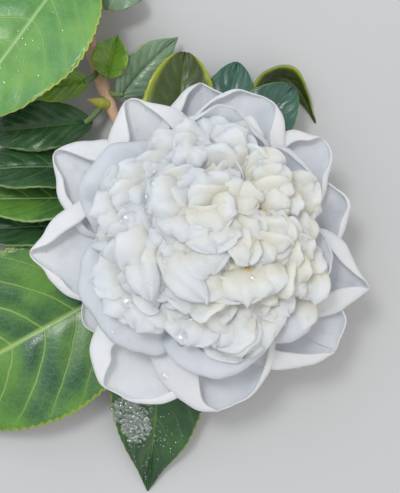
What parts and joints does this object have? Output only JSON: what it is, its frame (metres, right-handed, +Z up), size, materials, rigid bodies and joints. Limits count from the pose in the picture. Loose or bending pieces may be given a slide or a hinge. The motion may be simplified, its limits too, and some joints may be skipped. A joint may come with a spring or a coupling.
{
  "type": "cut camellia sprig with one open bloom",
  "caption": "Cut sprig of camellia lying flat: one large white double bloom facing up, its calyx, leafy twig, glossy leaves and leaf buds.",
  "frame": {"origin": "middle of the sprig's underside, on the flat surface it lies on", "axes": "+Z up, the way the bloom faces; +Y towards the twig's cut end; +X towards the bloom's side"},
  "size_m": [0.1576, 0.2088, 0.0531],
  "materials": {
    "petal": "soft white petal, satin, wet in places",
    "heart": "small crumpled white petals, cream in their folds",
    "calyx": "pale green downy sepals",
    "bark": "thin pinkish brown bark, fine grooves",
    "leaf": "thick glossy evergreen leaf, pale veins",
    "bud": "yellow green bud scales"
  },
  "bodies": {
    "root": {"calyx": "calyx", "guard_petal_01": "petal", "guard_petal_02": "petal", "guard_petal_03": "petal", "guard_petal_04": "petal", "guard_petal_05": "petal", "guard_petal_06": "petal", "guard_petal_07": "petal", "guard_petal_08": "petal", "guard_petal_09": "petal", "guard_petal_10": "petal", "guard_petal_11": "petal", "guard_petal_12": "petal", "inner_petal_01": "petal", "inner_petal_02": "petal", "inner_petal_03": "petal", "inner_petal_04": "petal", "inner_petal_05": "petal", "inner_petal_06": "petal", "inner_petal_07": "petal", "leaf_arching": "leaf", "leaf_bottom": "leaf", "leaf_bud_lower": "bud", "leaf_bud_upper": "bud", "leaf_left_high": "leaf", "leaf_left_lower": "leaf", "leaf_left_middle": "leaf", "leaf_left_small": "leaf", "leaf_left_upper": "leaf", "leaf_lower_left": "leaf", "leaf_lower_right": "leaf", "leaf_right": "leaf", "leaf_top": "leaf", "leaf_top_left": "leaf", "leaf_top_right": "leaf", "leaf_twig_right": "leaf", "leaf_twig_top": "leaf", "leaf_twig_young": "leaf", "leaf_upper_left": "leaf", "petal_cluster_01": "heart", "petal_cluster_02": "heart", "petal_cluster_03": "heart", "petal_cluster_04": "heart", "petal_cluster_05": "heart", "petal_cluster_06": "heart", "petal_cluster_07": "heart", "petal_cluster_middle": "heart", "twig": "bark"}
  },
  "joints": []
}
